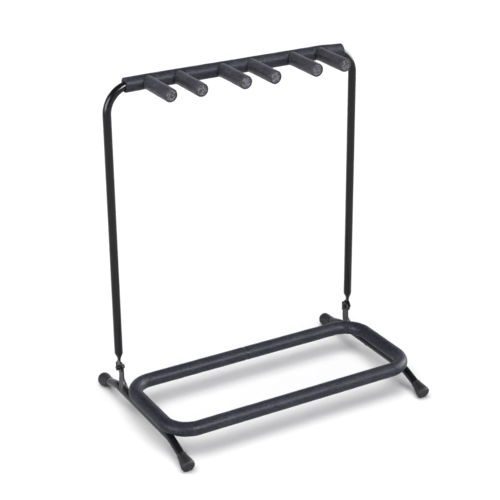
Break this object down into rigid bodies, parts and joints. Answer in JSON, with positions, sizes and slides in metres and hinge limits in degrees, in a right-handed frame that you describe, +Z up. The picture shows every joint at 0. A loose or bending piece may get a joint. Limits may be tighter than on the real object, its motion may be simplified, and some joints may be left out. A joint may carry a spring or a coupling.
{
  "type": "guitar rack",
  "caption": "Folding floor rack for guitars: a foam-covered base loop on arched legs, and a hinged U frame whose crossbar carries pairs of foam-covered neck pegs.",
  "frame": {"origin": "on the floor, under the middle of the rack's length and depth", "axes": "+Z up; -Y is the front, towards the player; +X along the crossbar to the viewer's right"},
  "size_m": [0.5538, 0.3694, 0.6525],
  "materials": {
    "black_paint": "gloss",
    "foam": "matte",
    "rubber": "matte",
    "plug_plastic": "matte",
    "black_zinc": "satin"
  },
  "bodies": {
    "base": {"left_leg_tube": "black_paint", "left_upright": "black_paint", "left_stop_plate": "black_paint", "front_left_foot": "rubber", "rear_left_foot": "rubber", "left_pivot_bolt": "black_zinc", "left_lock_nut": "black_zinc", "left_inner_washer": "black_zinc", "left_middle_washer": "black_zinc", "left_outer_washer": "black_zinc", "right_leg_tube": "black_paint", "right_upright": "black_paint", "right_stop_plate": "black_paint", "front_right_foot": "rubber", "rear_right_foot": "rubber", "right_pivot_bolt": "black_zinc", "right_lock_nut": "black_zinc", "right_inner_washer": "black_zinc", "right_middle_washer": "black_zinc", "right_outer_washer": "black_zinc", "base_loop_tube": "black_paint", "loop_joint_sleeve": "black_paint", "loop_foam": "foam", "loop_screw_1": "black_zinc", "loop_insert_nut_1": "black_zinc", "loop_spacer_1": "black_zinc", "loop_screw_2": "black_zinc", "loop_insert_nut_2": "black_zinc", "loop_spacer_2": "black_zinc", "loop_screw_3": "black_zinc", "loop_insert_nut_3": "black_zinc", "loop_spacer_3": "black_zinc", "loop_screw_4": "black_zinc", "loop_insert_nut_4": "black_zinc", "loop_spacer_4": "black_zinc"},
    "upper_frame": {"upper_frame_tube": "black_paint", "crossbar_foam": "foam", "peg_tube_1": "black_paint", "peg_foam_1": "foam", "peg_plug_1": "plug_plastic", "peg_tube_2": "black_paint", "peg_foam_2": "foam", "peg_plug_2": "plug_plastic", "peg_tube_3": "black_paint", "peg_foam_3": "foam", "peg_plug_3": "plug_plastic", "peg_tube_4": "black_paint", "peg_foam_4": "foam", "peg_plug_4": "plug_plastic", "peg_tube_5": "black_paint", "peg_foam_5": "foam", "peg_plug_5": "plug_plastic", "peg_tube_6": "black_paint", "peg_foam_6": "foam", "peg_plug_6": "plug_plastic"}
  },
  "joints": [
    {"name": "frame_fold", "type": "hinge", "parent": "base", "child": "upper_frame", "pos_m": [0, 0.0989, 0.0789], "axis": [1, 0, 0], "range_deg": [0, 90]}
  ]
}
